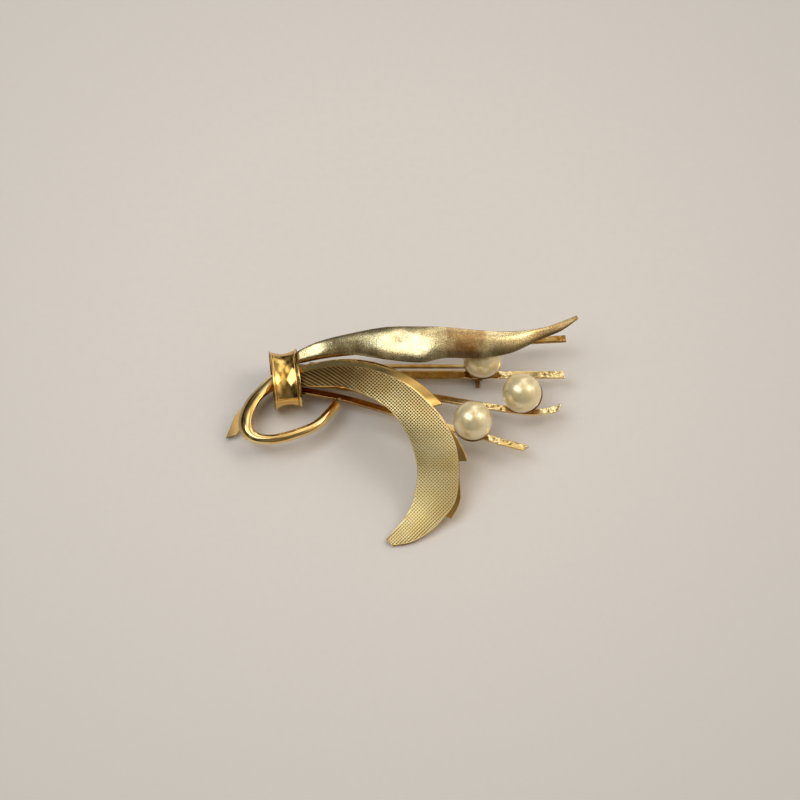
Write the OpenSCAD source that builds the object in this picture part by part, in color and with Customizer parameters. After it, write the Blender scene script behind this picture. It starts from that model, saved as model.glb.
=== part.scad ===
// Spray brooch: a polished leaf, a hatched sickle leaf and three pearls on flat stems, bound by a collar,
// with a ribbon loop on the left and a pin with a roll-over catch on the back.
// It lies face up: +X runs along the spray, +Y towards the polished leaf, and the rest plane is z = 0.

/* [Pearls] */
// Radius of a pearl
pearl_r = 3.0; // [2.9:0.05:3.05]
// Height of the pearls' centres above the rest plane
pearl_z = 6.7; // [6.65:0.05:6.8]

/* [Stems] */
// Underside of the stems above the rest plane
stem_z = 2.95; // [2.95:0.05:3.0]
// Thickness of a stem
stem_t = 0.55; // [0.5:0.05:0.6]
// Width of a stem
stem_w = 1.15; // [1.05:0.05:1.2]

/* [Leaves] */
// Thickness of the polished leaf
polished_t = 0.4; // [0.35:0.05:0.45]
// Rise of the polished leaf's crown above its edges, where it is widest
polished_crown = 0.5; // [0.35:0.05:0.65]
// Thickness of the hatched leaf
hatched_t = 0.5; // [0.4:0.05:0.55]
// Rise of the hatched leaf's crown above its edges, where it is widest
hatched_crown = 0.45; // [0.3:0.05:0.6]
// How steeply the hatched leaf's smooth margin turns down, in degrees
margin_slope = 10; // [8:1:20]

/* [Collar] */
// Half of the collar's size across the stems
collar_a = 4.75; // [4.7:0.05:4.8]
// Half of the collar's height
collar_b = 3.3; // [3.2:0.05:3.3]
// Length of the collar along the stems
collar_len = 4.2; // [4.0:0.1:4.4]
// Depth of the channel round the collar
collar_groove = 0.65; // [0.4:0.05:0.7]

/* [Ribbon] */
// Width of the loop's ribbon at its left bend
ribbon_w = 2.5; // [2.3:0.05:2.55]
// Thickness of the loop's ribbon at its crest
ribbon_t = 0.95; // [0.8:0.05:1.0]

/* [Pin and catch] */
// Radius of the pin
pin_r = 0.36; // [0.3:0.02:0.38]
// Height of the pin's axis above the rest plane
pin_z = 1.2; // [1.2:0.05:1.25]
// Radius of the hinge rivet
rivet_r = 0.3; // [0.25:0.01:0.32]
// Outer radius of the catch
catch_r = 1.2; // [1.15:0.01:1.2]

/* [Hidden] */

GOLD = [0.83, 0.66, 0.32];
DARK_GOLD = [0.66, 0.48, 0.2];
NACRE = [0.93, 0.89, 0.78];

stem_top = stem_z + stem_t;
play = 0.04;                     // running clearance of the hinge and the catch, on the radius
tiny = 0.01;

// Meshes of the leaves and the ribbon: rows along them, columns across them
polished_rows = 44;
polished_columns = 8;
hatched_rows = 52;
hatched_columns = 7;
ribbon_rows = 64;
polished_w = 5.5;                // widest place of the polished leaf
hatched_w = 6;                   // widest place of the hatched leaf
tooth_gap = 0.05;                // least distance, in places, between a tooth's rows and the others

// Collar: middle of the bundle, its turn about Z and its lean towards the front
collar_at = [-17.75, 9.45, 3.7];
collar_turn = 7;
collar_lean = 8;
collar_wall = 0.4;
collar_sides = 48;
strip_steps = 48;
collar_step = 0.2;               // distance between the collar's rings, as a share of half its length
channel_power = 3;             // the higher, the flatter the channel's bottom
solder_half = [3.6, 1.5];        // half sizes of the solder that fills the collar
solder_len = 1.2;

// Hatched leaf: ridge and inner edge from the collar to the tip, in matching pairs
hatched_ridge = [[-17.2, 9.4, 4.7], [-13.7, 10.2, 5.4], [-9.1, 9.9, 7.0], [-4.6, 8.3, 8.7],
    [0, 5.5, 9.8], [3.4, 2.3, 10.1], [6.2, -1.0, 9.4], [8.1, -4.4, 7.4], [8.5, -8.0, 4.9],
    [8.0, -11.2, 2.9], [6.2, -13.6, 1.8], [4.0, -15.6, 1.1], [1.2, -17.1, 0.7], [-1.6, -17.5, 0.6]];
hatched_inner = [[-16.9, 7.8, 4.8], [-13.7, 6.9, 6.0], [-10.0, 6.0, 7.5], [-6.9, 4.3, 9.0],
    [-4.0, 2.3, 9.8], [-1.7, 0.3, 9.8], [0.1, -2.0, 8.8], [1.5, -4.4, 7.2], [2.2, -7.2, 5.1],
    [1.9, -9.8, 3.4], [1.1, -12.1, 2.1], [-0.3, -14.1, 1.3], [-1.7, -15.7, 0.8], [-2.5, -16.6, 0.6]];
// Margin lobes: [start, end, width at the start, at the middle and at the tooth], places in edge pairs
lobes = [[0, 5.35, 1.6, 1.75, 1.7], [6.15, 7.5, 0.1, 0.7, 1.4], [8.0, 9.9, 0.1, 0.7, 1.05]];
rim_w = 0.1;                     // width of the margin between the lobes

// Polished leaf: back and front edge from the collar to the tip, in matching pairs
polished_back = [[-17.3, 12.6, 4.6], [-15.8, 13.7, 5.3], [-12.5, 14.9, 6.2], [-7.9, 14.8, 8.6],
    [-2.6, 14.6, 10.8], [2.7, 14.0, 12.0], [6.6, 13.7, 12.3], [11.8, 13.5, 11.7], [16.6, 13.9, 10.7],
    [20.9, 15.0, 9.8], [24.2, 16.4, 9.4], [26.5, 17.5, 9.3]];
polished_front = [[-17.3, 11.6, 4.5], [-15.7, 11.9, 4.9], [-12.2, 12.5, 5.5], [-7.6, 11.6, 7.3],
    [-2.5, 9.6, 9.3], [2.7, 8.5, 10.3], [6.5, 9.1, 10.6], [11.8, 9.4, 10.0], [16.6, 10.7, 9.4],
    [20.9, 13.3, 8.9], [24.2, 14.9, 8.9], [26.8, 16.9, 9.2]];

// Ribbon loop: its crest from inside the collar round to its end on the front stem
loop_path = [[-18.4, 9.9, 4.0], [-20.4, 8.8, 4.0], [-22.5, 6.7, 4.1], [-23.7, 4.4, 4.2],
    [-24.2, 2.2, 4.2], [-23.8, 0.3, 4.2], [-22.4, -0.9, 4.2], [-20.3, -1.15, 4.2], [-18.2, -0.85, 4.2],
    [-16.1, -0.1, 4.1], [-14.0, 0.9, 3.9], [-12.4, 2.1, 3.7], [-11.2, 3.6, 3.5], [-9.8, 5.7, 3.4]];
ribbon_crown = 0.5;              // how far the ribbon's rounded face falls from its crest to its edges
ribbon_lean = 20;                // lean of that face to the outside of the loop
loop_end_w = 1.5;                // width of the ribbon from point loop_narrow[1] of the path on
loop_narrow = [3.5, 7];
bead_at = [-9.6, 5.9, stem_top + 0.1];
bead_r = 0.45;
tail_at = [-20.2, 9.5, 2.3];     // where the tail strip leaves the collar
tail_drop = 10;                  // angle it falls by, about an axis square to it
tail_axis = [8, -6, 0];
tail_t = 0.45;
tail_outline = [[-6.65, -8.7], [-5.1, -8.3], [-0.1, -0.6], [1.6, -0.1], [1.6, 1.1], [-0.6, 0.7],
    [-5.35, -5.2]];

// Stems: centre lines from inside the collar to the cut ends
stem_back_line = [[-17.6, 12.3], [-11.5, 13.8], [-2.5, 14.8], [11.0, 15.7], [25.1, 16.6]];
stem_pin_line = [[-17.8, 10.5], [25.0, 10.5]];
stem_middle_line = [[-17.8, 9.35], [-12.0, 8.75], [-6.0, 8.0], [0, 7.2], [5.7, 6.4], [11.0, 5.35],
    [15.5, 4.55], [19.3, 3.95], [22.1, 4.15], [24.0, 4.8]];
stem_front_line = [[-17.8, 8.25], [-9.0, 6.4], [0, 3.5], [9.0, 0.7], [18.7, -2.4]];
stem_back_w = 1.05;
stem_back_z = stem_top + tiny;   // the back stem lies on the level of the others' tops
front_stem_w = 1.0;              // width of the middle and the front stem
end_slant = 0.35;                // how far one corner of their cut ends stands ahead
wire_y = 12.0;                   // wire that carries the first pearl
wire_w = 0.5;
wire_start = -17.0;
wire_end = 12.3;

pearl_at = [[12.2, 11.4], [18.1, 5.3], [10.6, 0.5]];
cup_tilt = [0, 22, 0];           // the middle stem's cup leans to the left, which shows its rim
cup_lean_back = 0.6;             // share of that lean that is towards the polished leaf
cup_wall = 0.2;
cup_rim_drop = 1.5;              // depth of the cup's rim below the pearl's centre
foot_r = 0.8;
foot_h = 0.35;
peg_r = 0.4;
peg_len = 2.2;                   // depth of the pearl's drilled hole
pearl_gap = 0.02;                // room between a peg and its neighbours along its length

// Pin and catch, both on the axis at pin_y
pin_y = 12.1;
pin_end = 14.8;
pin_point_len = 2.4;
pin_point_r = 0.05;
hinge_x = -12.6;
ear_r = 1.2;
ear_t = 0.4;
eye_r = 0.85;
eye_t = 0.7;
rivet_head_r = 0.5;
rivet_head_t = 0.15;
catch_x = 11.5;
catch_w = 1.6;
catch_wall = 0.3;
rotor_bore = pin_r + 0.14;
lever_w = [0.9, 0.55];           // width of the lever on the axis and at its tip
lever_t = 0.5;
lever_len = 2.3;
lever_down = 25;                 // angle of the lever below level when the catch is open
lever_travel = 60;
lever_slot = 0.9;                // width of the housing's slot for the lever
lever_room = 25;                 // how far the slot reaches beyond the travel at each end, in degrees
lever_gap = 0.3;                 // from the lever's tip to the end of its slot
mouth_half = 0.62;               // half of the housing's mouth
rotor_mouth_half = 0.45;         // half of the rotor's mouth
plate_y = 11.65;                 // base plates of the hinge and the catch, under the stems
plate_w = 2.5;
hinge_plate = [3.2, 0.35];       // length and thickness
catch_plate_t = 0.45;

// ---- curves ----

// Point on the smooth curve through the points p, at place u counted in points
function curve(p, u) = let (
        n = len(p) - 1,
        i = min(floor(u), n - 1),
        f = u - i,
        a = p[max(i - 1, 0)], b = p[i], c = p[i + 1], d = p[min(i + 2, n)])
    0.5 * (2 * b + (c - a) * f + (2 * a - 5 * b + 4 * c - d) * f * f + (3 * b - a - 3 * c + d) * f * f * f);

function unit(v) = v / norm(v);
function steps(n) = [for (i = [0:n]) i / n];
function mix(a, b, t) = a + (b - a) * t;
function rise(t) = let (x = min(max(t, 0), 1)) x * x * (3 - 2 * x);

// Normal of a grid of points at row i, column j
function grid_normal(g, i, j) = let (
        r = len(g) - 1, c = len(g[0]) - 1,
        along = g[min(i + 1, r)][j] - g[max(i - 1, 0)][j],
        across = g[i][min(j + 1, c)] - g[i][max(j - 1, 0)])
    unit(cross(along, across));
// Grid moved down by t along its own normals
function underside(g, t) = [for (i = [0:len(g) - 1]) [for (j = [0:len(g[0]) - 1])
        g[i][j] - t * grid_normal(g, i, j)]];

// Closed plate between two grids of points, the upper one and the lower one
module plate(upper, lower) {
    r = len(upper);
    c = len(upper[0]);
    n = r * c;
    points = concat([for (row = upper) each row], [for (row = lower) each row]);
    function quad(a, b, c, d) = [[a, b, c], [a, c, d]];
    top = [for (i = [0:r - 2]) for (j = [0:c - 2]) let (k = i * c + j) each quad(k, k + 1, k + c + 1, k + c)];
    base = [for (f = top) [f[2] + n, f[1] + n, f[0] + n]];
    sides = [for (i = [0:r - 2]) let (k = i * c, m = k + c - 1)
        each concat(quad(k, k + c, k + c + n, k + n), quad(m + n, m + c + n, m + c, m))];
    ends = [for (j = [0:c - 2]) let (k = j, m = (r - 1) * c + j)
        each concat(quad(k + 1, k, k + n, k + 1 + n), quad(m, m + 1, m + 1 + n, m + n))];
    polyhedron(points, concat(top, base, sides, ends));
}

// ---- leaves ----

// Row of a leaf's face at place u, from edge q to edge p. Its crown is a share of the width there.
function leaf_row(p, q, u, crown, columns) = let (
        a = curve(p, u), b = curve(q, u),
        along = curve(p, u + tiny) + curve(q, u + tiny) - a - b,
        up = unit(cross(along, a - b)),
        lift = crown * norm(a - b))
    [for (t = steps(columns)) mix(b, a, t) + up * lift * 4 * t * (1 - t)];

function leaf_places(p, rows) = [for (t = steps(rows)) t * (len(p) - 1 - tiny)];

module polished_leaf() {
    rows = [for (u = leaf_places(polished_back, polished_rows))
        leaf_row(polished_back, polished_front, u, polished_crown / polished_w, polished_columns)];
    color(GOLD) plate(rows, underside(rows, polished_t));
}

// Width of the hatched leaf's smooth margin at place u, widening to each cut tooth
function lobe_width(l, u) = let (t = (u - l[0]) / (l[1] - l[0]))
    t < 0.5 ? mix(l[2], l[3], rise(2 * t)) : mix(l[3], l[4], 2 * t - 1);
function margin_width(u) = let (w = [for (l = lobes) if (u >= l[0] && u <= l[1]) lobe_width(l, u)])
    len(w) > 0 ? w[0] : rim_w;

// Row of the hatched leaf: its crowned face, then the margin turned down beyond the ridge
function hatched_row(u) = let (
        face = leaf_row(hatched_ridge, hatched_inner, u, hatched_crown / hatched_w, hatched_columns),
        ridge = face[hatched_columns],
        out = unit(ridge - face[0]),
        along = curve(hatched_ridge, u + tiny) - curve(hatched_ridge, u),
        up = unit(cross(along, ridge - face[0])),
        w = margin_width(u))
    concat(face, [ridge + w * (out * cos(margin_slope) - up * sin(margin_slope))]);

function sorted(v) = len(v) < 2 ? v : let (
        m = v[floor(len(v) / 2)])
    concat(sorted([for (x = v) if (x < m) x]), [for (x = v) if (x == m) x],
        sorted([for (x = v) if (x > m) x]));

// Each end of a lobe gets a row just before it and one just after it, which makes the tooth's edge sharp
module hatched_leaf() {
    ends = [for (l = lobes) each [l[0], l[1]]];
    teeth = [for (u = ends) if (u > 0) each [u - tiny, u + tiny]];
    clear = [for (u = leaf_places(hatched_ridge, hatched_rows))
        if (min([for (t = teeth) abs(t - u)]) > tooth_gap) u];
    rows = [for (u = sorted(concat(clear, teeth))) hatched_row(u)];
    color(GOLD) plate(rows, underside(rows, hatched_t));
}

// ---- collar ----

// Half sizes of the collar at place t from -1 to 1 along it, drawn in by cut
function collar_ring(t, cut) = let (
        g = collar_groove * (1 - pow(abs(t), channel_power)) + cut)
    [for (k = [0:collar_sides - 1]) let (w = 360 * k / collar_sides)
        [t * collar_len / 2, (collar_a - g) * cos(w), (collar_b - g) * sin(w)]];

module collar() {
    outside = [for (t = [-1:collar_step:1]) collar_ring(t, 0)];
    inside = [for (t = [1:-collar_step:-1]) collar_ring(t, collar_wall)];
    rings = concat(outside, inside);
    r = len(rings);
    c = len(rings[0]);
    faces = [for (i = [0:r - 1]) for (j = [0:c - 1]) let (
            i2 = (i + 1) % r, j2 = (j + 1) % c,
            a = i * c + j, b = i * c + j2, d = i2 * c + j, e = i2 * c + j2)
        each [[a, b, e], [a, e, d]]];
    color(GOLD) translate(collar_at) rotate([collar_lean, 0, collar_turn])
        polyhedron([for (ring = rings) each ring], faces);
}

module collar_solder() {
    color(DARK_GOLD) translate(collar_at) rotate([collar_lean, 0, collar_turn]) rotate([90, 0, 90])
        linear_extrude(solder_len, center = true)
            polygon([for (w = [0:10:350]) [solder_half[0] * cos(w), solder_half[1] * sin(w)]]);
}

// ---- ribbon ----

// Cross and up directions of the ribbon at place u: level in the collar, then leaning outwards
function ribbon_frame(u) = let (
        d = curve(loop_path, u + tiny) - curve(loop_path, u),
        along = unit([d[0], d[1], 0]),
        side = [-along[1], along[0], 0],
        lean = ribbon_lean * rise(u / 2))
    [cos(lean) * side + sin(lean) * [0, 0, 1], -sin(lean) * side + cos(lean) * [0, 0, 1]];

// Row of the ribbon's face or base at place u
function ribbon_row(u, face) = let (
        f = ribbon_frame(u),
        w = mix(ribbon_w, loop_end_w, rise((u - loop_narrow[0]) / (loop_narrow[1] - loop_narrow[0]))),
        crest = curve(loop_path, u))
    [for (s = [1:-0.25:-1])
        crest + f[0] * s * w / 2 - f[1] * (face ? ribbon_crown * s * s : ribbon_t)];

module ribbon_loop() {
    places = leaf_places(loop_path, ribbon_rows);
    color(GOLD) plate([for (u = places) ribbon_row(u, false)], [for (u = places) ribbon_row(u, true)]);
}

module loop_solder() {
    color(DARK_GOLD) translate(bead_at) sphere(r = bead_r, $fn = 24);
}

// Strip that runs down from the collar and under the loop's left bend, to its pointed end
module tail_strip() {
    color(GOLD) translate(tail_at) rotate(a = tail_drop, v = tail_axis)
        linear_extrude(tail_t) polygon(tail_outline);
}

// ---- stems ----

// Flat stem of width w along the smooth curve through the points p in n steps, its end cut at a slant
module strip(p, w, slant, n = strip_steps) {
    last = len(p) - 1 - tiny;
    function side(u, s) = let (d = unit(curve(p, u + tiny) - curve(p, u)))
        curve(p, u) + s * w / 2 * [-d[1], d[0]] + (u > last - tiny ? s * slant * d : [0, 0]);
    places = [for (i = steps(n)) i * last];
    linear_extrude(stem_t)
        polygon(concat([for (u = places) side(u, 1)], [for (i = [n:-1:0]) side(places[i], -1)]));
}

module stem_back() {
    color(GOLD) translate([0, 0, stem_back_z]) strip(stem_back_line, stem_back_w, 0);
}

module stem_pin() {
    color(GOLD) translate([0, 0, stem_z]) strip(stem_pin_line, stem_w, 0, 1);
}

module stem_middle() {
    color(GOLD) translate([0, 0, stem_z]) strip(stem_middle_line, front_stem_w, end_slant);
}

module stem_front() {
    color(GOLD) translate([0, 0, stem_z]) strip(stem_front_line, front_stem_w, end_slant);
}

module pearl_wire() {
    color(DARK_GOLD) translate([wire_start, wire_y - wire_w / 2, stem_z])
        cube([wire_end - wire_start, wire_w, stem_t]);
}

// ---- pearls ----

module place_pearl(i) {
    translate([each pearl_at[i], pearl_z]) rotate([cup_tilt[i] * cup_lean_back, -cup_tilt[i], 0])
        children();
}

module pearl(i) {
    color(NACRE) place_pearl(i) difference() {
        sphere(r = pearl_r, $fn = 96);
        translate([0, 0, -pearl_r - 1]) cylinder(r = peg_r + tiny, h = peg_len + 1, $fn = 32);
    }
}

module pearl_cup(i) {
    shell = pearl_r + cup_wall;
    color(GOLD) union() {
        place_pearl(i) difference() {
            sphere(r = shell - tiny, $fn = 96);
            sphere(r = pearl_r + tiny, $fn = 96);
            translate([0, 0, -cup_rim_drop]) cylinder(r = 2 * shell, h = 3 * shell, $fn = 32);
            translate([0, 0, -2 * shell]) cylinder(r = peg_r + tiny, h = 2 * shell, $fn = 32);
        }
        difference() {
            translate([each pearl_at[i], stem_top]) cylinder(r = foot_r, h = foot_h, $fn = 32);
            place_pearl(i) sphere(r = shell - 2 * tiny, $fn = 96);
            place_pearl(i) translate([0, 0, -2 * shell]) cylinder(r = peg_r + tiny, h = 2 * shell, $fn = 32);
        }
    }
}

module pearl_peg(i) {
    shell = pearl_r + cup_wall;
    color(DARK_GOLD) place_pearl(i) translate([0, 0, -shell + pearl_gap])
        cylinder(r = peg_r, h = peg_len + cup_wall - 2 * pearl_gap, $fn = 32);
}

module pearl_1() { pearl(0); }
module pearl_2() { pearl(1); }
module pearl_3() { pearl(2); }
module pearl_cup_1() { pearl_cup(0); }
module pearl_cup_2() { pearl_cup(1); }
module pearl_cup_3() { pearl_cup(2); }
module pearl_peg_1() { pearl_peg(0); }
module pearl_peg_2() { pearl_peg(1); }
module pearl_peg_3() { pearl_peg(2); }

// ---- pin and catch ----

// Round bar of radius r and length h, its middle at [x, pin axis], lying along Y
module across(x, r, h) {
    translate([x, pin_y, pin_z]) rotate([90, 0, 0]) cylinder(r = r, h = h, center = true, $fn = 64);
}

// Round bar of radius r from x0 to x1 along the pin's axis
module lengthwise(x0, x1, r) {
    translate([x0, pin_y, pin_z]) rotate([0, 90, 0]) cylinder(r = r, h = x1 - x0, $fn = 64);
}

// Base plate of length l and thickness t, its middle at x, against the undersides of the stems
module base_plate(x, l, t) {
    translate([x - l / 2, plate_y - plate_w / 2, stem_z - t]) cube([l, plate_w, t]);
}

// Block from the floor to z_top, open along Y, its middle at x: w along X and 2 * half along Y
module slot_below(x, w, half, z_top) {
    translate([x - w / 2, pin_y - half, -1]) cube([w, 2 * half, z_top + 1]);
}

hinge_gap = eye_t + 2 * play;
hinge_reach = hinge_gap / 2 + ear_t;

module hinge_bracket() {
    color(DARK_GOLD) difference() {
        union() {
            across(hinge_x, ear_r, 2 * hinge_reach);
            translate([hinge_x - ear_r, pin_y - hinge_reach, pin_z])
                cube([2 * ear_r, 2 * hinge_reach, stem_z - pin_z]);
            base_plate(hinge_x, hinge_plate[0], hinge_plate[1]);
        }
        across(hinge_x, rivet_r, 4 * hinge_reach);
        slot_below(hinge_x, 3 * ear_r, hinge_gap / 2, stem_z - hinge_plate[1]);
    }
}

module hinge_rivet() {
    color(DARK_GOLD) union() {
        across(hinge_x, rivet_r - tiny, 2 * (hinge_reach + rivet_head_t));
        for (s = [-1, 1])
            translate([0, s * (hinge_reach + rivet_head_t / 2), 0])
                across(hinge_x, rivet_head_r, rivet_head_t);
    }
}

module pin_stem() {
    shaft_end = pin_end - pin_point_len;
    color(GOLD) difference() {
        union() {
            across(hinge_x, eye_r, eye_t);
            lengthwise(hinge_x, shaft_end, pin_r);
            translate([shaft_end, pin_y, pin_z]) rotate([0, 90, 0])
                cylinder(r1 = pin_r, r2 = pin_point_r, h = pin_point_len, $fn = 64);
        }
        across(hinge_x, rivet_r + play, 2 * eye_t);
    }
}

catch_start = catch_x - catch_w / 2;
catch_end = catch_x + catch_w / 2;

module catch_housing() {
    color(DARK_GOLD) difference() {
        union() {
            lengthwise(catch_start, catch_end, catch_r);
            translate([catch_start, pin_y - catch_r / 2, pin_z]) cube([catch_w, catch_r, stem_z - pin_z]);
            base_plate(catch_x, catch_w, catch_plate_t);
        }
        lengthwise(catch_start - 1, catch_end + 1, catch_r - catch_wall);
        slot_below(catch_x, 2 * catch_w, mouth_half, pin_z);
        lever_way();
    }
}

// Space that the lever sweeps through the housing's front wall
module lever_way() {
    half = lever_travel / 2 + lever_room;
    reach = lever_len + lever_gap;
    translate([catch_x - lever_slot / 2, pin_y, pin_z]) rotate([lever_down - lever_travel / 2, 0, 0])
        rotate([90, 0, 90]) linear_extrude(lever_slot)
            polygon([[0, 0], for (a = [-half:half / 4:half]) reach * [-cos(a), sin(a)]]);
}

module catch_rotor() {
    root = lever_w[0] / 2;
    tip = lever_w[1] / 2;
    color(GOLD) difference() {
        union() {
            lengthwise(catch_start, catch_end, catch_r - catch_wall - play);
            translate([catch_x, pin_y, pin_z]) rotate([lever_down, 0, 0]) translate([0, 0, -lever_t / 2])
                linear_extrude(lever_t)
                    polygon([[-root, 0], [-tip, -lever_len], [tip, -lever_len], [root, 0]]);
        }
        lengthwise(catch_start - 1, catch_end + 1, rotor_bore);
        slot_below(catch_x, 2 * catch_w, rotor_mouth_half, pin_z);
    }
}

polished_leaf();
hatched_leaf();
collar();
collar_solder();
ribbon_loop();
loop_solder();
tail_strip();
stem_back();
stem_pin();
stem_middle();
stem_front();
pearl_wire();
pearl_1();
pearl_2();
pearl_3();
pearl_cup_1();
pearl_cup_2();
pearl_cup_3();
pearl_peg_1();
pearl_peg_2();
pearl_peg_3();
hinge_bracket();
hinge_rivet();
pin_stem();
catch_housing();
catch_rotor();
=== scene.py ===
"""Looks of the spray brooch: fine meshes, procedural metals and nacre, light and camera, round its CAD.

Shapes are worked out in millimetres, in the frame of the CAD, and MM turns them into Blender's metres.
"""

import math
import bmesh
import bpy
import numpy as np
from mathutils import Matrix, Vector, noise

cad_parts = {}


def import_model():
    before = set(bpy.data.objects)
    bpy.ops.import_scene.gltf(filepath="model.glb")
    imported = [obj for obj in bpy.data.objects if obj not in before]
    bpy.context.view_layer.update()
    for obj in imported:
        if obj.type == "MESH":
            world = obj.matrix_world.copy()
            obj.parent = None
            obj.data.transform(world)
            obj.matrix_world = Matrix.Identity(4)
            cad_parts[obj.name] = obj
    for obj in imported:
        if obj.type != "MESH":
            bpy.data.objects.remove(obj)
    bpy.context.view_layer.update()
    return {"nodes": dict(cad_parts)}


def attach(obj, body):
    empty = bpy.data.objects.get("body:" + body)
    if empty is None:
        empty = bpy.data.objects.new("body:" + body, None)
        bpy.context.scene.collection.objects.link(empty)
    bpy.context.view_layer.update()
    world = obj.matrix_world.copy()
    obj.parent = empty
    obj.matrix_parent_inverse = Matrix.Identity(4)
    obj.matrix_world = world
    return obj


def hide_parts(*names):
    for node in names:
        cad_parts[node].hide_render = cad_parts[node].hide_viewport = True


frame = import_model()

MM = 0.001
TINY = 0.01                      # a small step along a curve, or a hair of room

# ---- sizes of the design, in millimetres ----

PEARL_R = 3.0
PEARL_Z = 6.7
STEM_Z = 2.95
STEM_T = 0.55
STEM_TOP = STEM_Z + STEM_T
STEM_W = 1.15
POLISHED_T = 0.4
POLISHED_CROWN = 0.5
POLISHED_WIDEST = 5.5
HATCHED_T = 0.5
HATCHED_CROWN = 0.45
HATCHED_WIDEST = 6.0
MARGIN_SLOPE = math.radians(10)
COLLAR_A = 4.75
COLLAR_B = 3.3
COLLAR_LEN = 4.2
COLLAR_GROOVE = 0.65
COLLAR_WALL = 0.4
COLLAR_AT = (-17.75, 9.45, 3.7)
COLLAR_TURN = math.radians(7)
COLLAR_LEAN = math.radians(8)
SOLDER_HALF = (3.6, 1.5)
RIBBON_W = 2.5
RIBBON_END_W = 1.5
RIBBON_T = 0.95
RIBBON_CROWN = 0.5
RIBBON_LEAN_LEFT = math.radians(33)   # round the loop's left bend; the CAD leans 20 degrees throughout
RIBBON_LEAN = math.radians(13)        # from the loop's bottom to its end

HATCHED_RIDGE = [(-17.2, 9.4, 4.7), (-13.7, 10.2, 5.4), (-9.1, 9.9, 7.0), (-4.6, 8.3, 8.7),
    (0, 5.5, 9.8), (3.4, 2.3, 10.1), (6.2, -1.0, 9.4), (8.1, -4.4, 7.4), (8.5, -8.0, 4.9),
    (8.0, -11.2, 2.9), (6.2, -13.6, 1.8), (4.0, -15.6, 1.1), (1.2, -17.1, 0.7), (-1.6, -17.5, 0.6)]
HATCHED_INNER = [(-16.9, 7.8, 4.8), (-13.7, 6.9, 6.0), (-10.0, 6.0, 7.5), (-6.9, 4.3, 9.0),
    (-4.0, 2.3, 9.8), (-1.7, 0.3, 9.8), (0.1, -2.0, 8.8), (1.5, -4.4, 7.2), (2.2, -7.2, 5.1),
    (1.9, -9.8, 3.4), (1.1, -12.1, 2.1), (-0.3, -14.1, 1.3), (-1.7, -15.7, 0.8), (-2.5, -16.6, 0.6)]
# Margin lobes: start, end, width at the start, at the middle and at the tooth
LOBES = [(0, 5.35, 1.6, 1.75, 1.7), (6.15, 7.5, 0.1, 0.7, 1.4), (8.0, 9.9, 0.1, 0.7, 1.05)]
RIM_W = 0.1

POLISHED_BACK = [(-17.3, 12.6, 4.6), (-15.8, 13.7, 5.3), (-12.5, 14.9, 6.2), (-7.9, 14.8, 8.6),
    (-2.6, 14.6, 10.8), (2.7, 14.0, 12.0), (6.6, 13.7, 12.3), (11.8, 13.5, 11.7), (16.6, 13.9, 10.7),
    (20.9, 15.0, 9.8), (24.2, 16.4, 9.4), (26.5, 17.5, 9.3)]
POLISHED_FRONT = [(-17.3, 11.6, 4.5), (-15.7, 11.9, 4.9), (-12.2, 12.5, 5.5), (-7.6, 11.6, 7.3),
    (-2.5, 9.6, 9.3), (2.7, 8.5, 10.3), (6.5, 9.1, 10.6), (11.8, 9.4, 10.0), (16.6, 10.7, 9.4),
    (20.9, 13.3, 8.9), (24.2, 14.9, 8.9), (26.8, 16.9, 9.2)]

LOOP_PATH = [(-18.4, 9.9, 4.0), (-20.4, 8.8, 4.0), (-22.5, 6.7, 4.1), (-23.7, 4.4, 4.2),
    (-24.2, 2.2, 4.2), (-23.8, 0.3, 4.2), (-22.4, -0.9, 4.2), (-20.3, -1.15, 4.2), (-18.2, -0.85, 4.2),
    (-16.1, -0.1, 4.1), (-14.0, 0.9, 3.9), (-12.4, 2.1, 3.7), (-11.2, 3.6, 3.5), (-9.8, 5.7, 3.4)]
LOOP_NARROW = (3.5, 7)           # places between which the ribbon narrows
TAIL_AT = (-20.2, 9.5, 2.3)
TAIL_DROP = math.radians(10)
TAIL_AXIS = (8, -6, 0)
TAIL_T = 0.45
TAIL_EDGE = 0.06
TAIL_OUTLINE = [(-6.65, -8.7), (-5.1, -8.3), (-0.1, -0.6), (1.6, -0.1), (1.6, 1.1), (-0.6, 0.7),
    (-5.35, -5.2)]

STEM_BACK_LINE = [(-17.6, 12.3), (-11.5, 13.8), (-2.5, 14.8), (11.0, 15.7), (25.1, 16.6)]
STEM_PIN_LINE = [(-17.8, 10.5), (25.0, 10.5)]
STEM_MIDDLE_LINE = [(-17.8, 9.35), (-12.0, 8.75), (-6.0, 8.0), (0, 7.2), (5.7, 6.4), (11.0, 5.35),
    (15.5, 4.55), (19.3, 3.95), (22.1, 4.15), (24.0, 4.8)]
STEM_FRONT_LINE = [(-17.8, 8.25), (-9.0, 6.4), (0, 3.5), (9.0, 0.7), (18.7, -2.4)]
WIRE_LINE = [(-17.0, 12.0), (12.3, 12.0)]
PEARL_AT = [(12.2, 11.4), (18.1, 5.3), (10.6, 0.5)]
CUP_TILT = [0, math.radians(22), 0]
CUP_LEAN_BACK = 0.6
CUP_WALL = 0.2
CUP_RIM_DROP = 1.5

# ---- view ----

VIEW_WIDTH = 121.2
VIEW_ELEVATION = math.radians(60)
CAMERA_FAR = 800.0
AIM = (-0.35, 4.62, 5.79)
SENSOR = 36.0

# ---- curves and grids ----


def unit(v):
    """v at length 1, along its last axis."""
    return v / np.linalg.norm(v, axis=-1, keepdims=True)


def rise(t):
    """Smooth step from 0 to 1."""
    x = np.clip(t, 0, 1)
    return x * x * (3 - 2 * x)


def bump(x, middle, half):
    """Smooth hump of height 1 round middle, down to 0 at half on each side."""
    return rise(1 - np.abs(x - middle) / half)


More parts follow.
